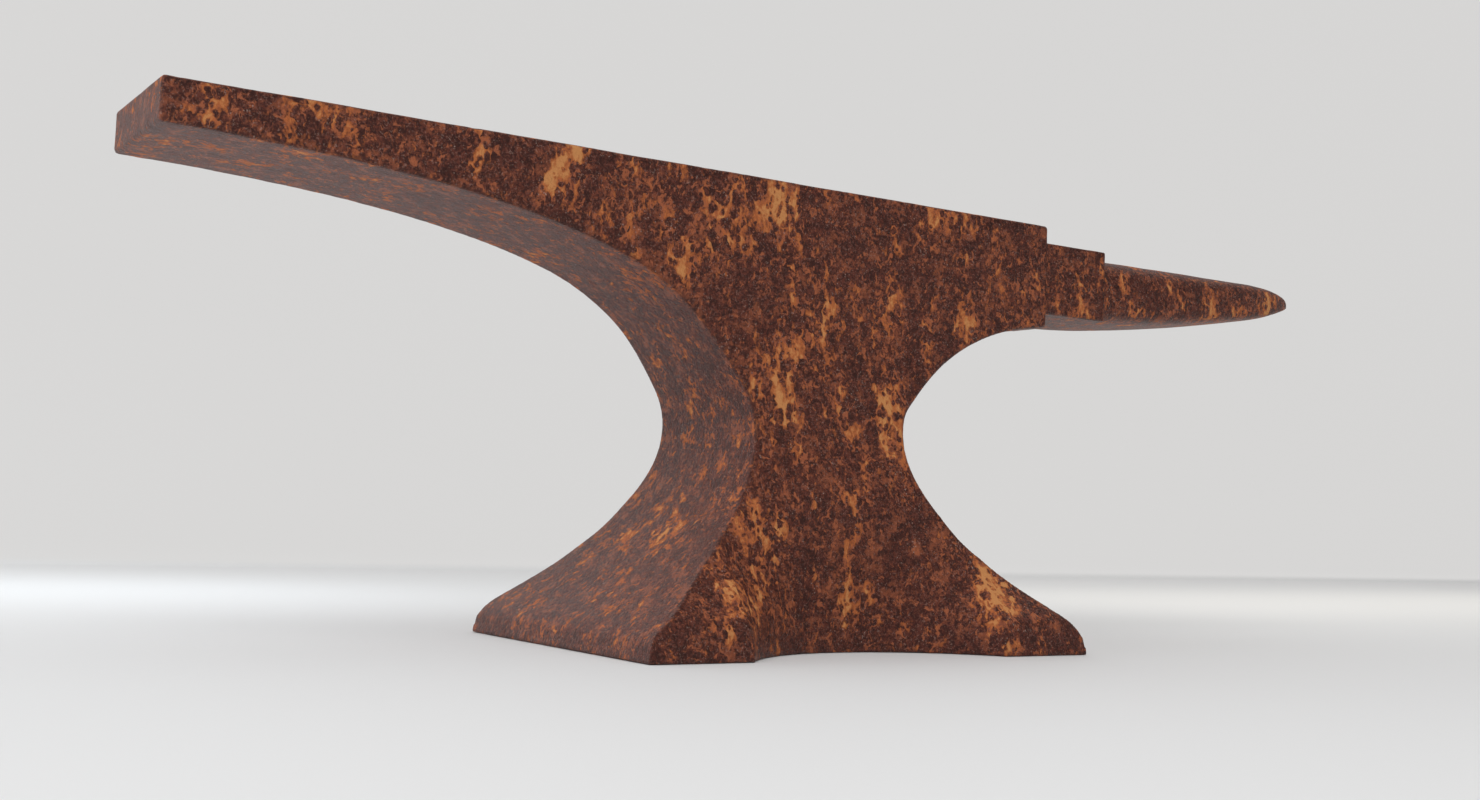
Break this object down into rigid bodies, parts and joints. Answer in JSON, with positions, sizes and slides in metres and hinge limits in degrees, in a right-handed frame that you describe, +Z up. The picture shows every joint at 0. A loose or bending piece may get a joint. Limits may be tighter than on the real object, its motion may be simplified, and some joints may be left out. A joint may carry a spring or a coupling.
{
  "type": "anvil",
  "caption": "Long-heeled smith's anvil: level face plate, stepped cutting table, tapering horn, narrow waist and four-cornered base.",
  "frame": {"origin": "centre of the base's underside", "axes": "+X along the horn, +Y across the anvil, +Z up out of the working face"},
  "size_m": [0.9141, 0.232, 0.29],
  "materials": {
    "rusted_iron": "rough, rusted all over in dark red-brown with orange patches",
    "rusted_steel": "rough, rusted all over in dark red-brown with orange patches"
  },
  "bodies": {
    "root": {"body_core": "rusted_iron", "heel": "rusted_iron", "face_plate": "rusted_steel", "cutting_table": "rusted_iron", "horn": "rusted_iron", "foot_heel_left": "rusted_iron", "foot_heel_right": "rusted_iron", "foot_horn_left": "rusted_iron", "foot_horn_right": "rusted_iron"}
  },
  "joints": []
}
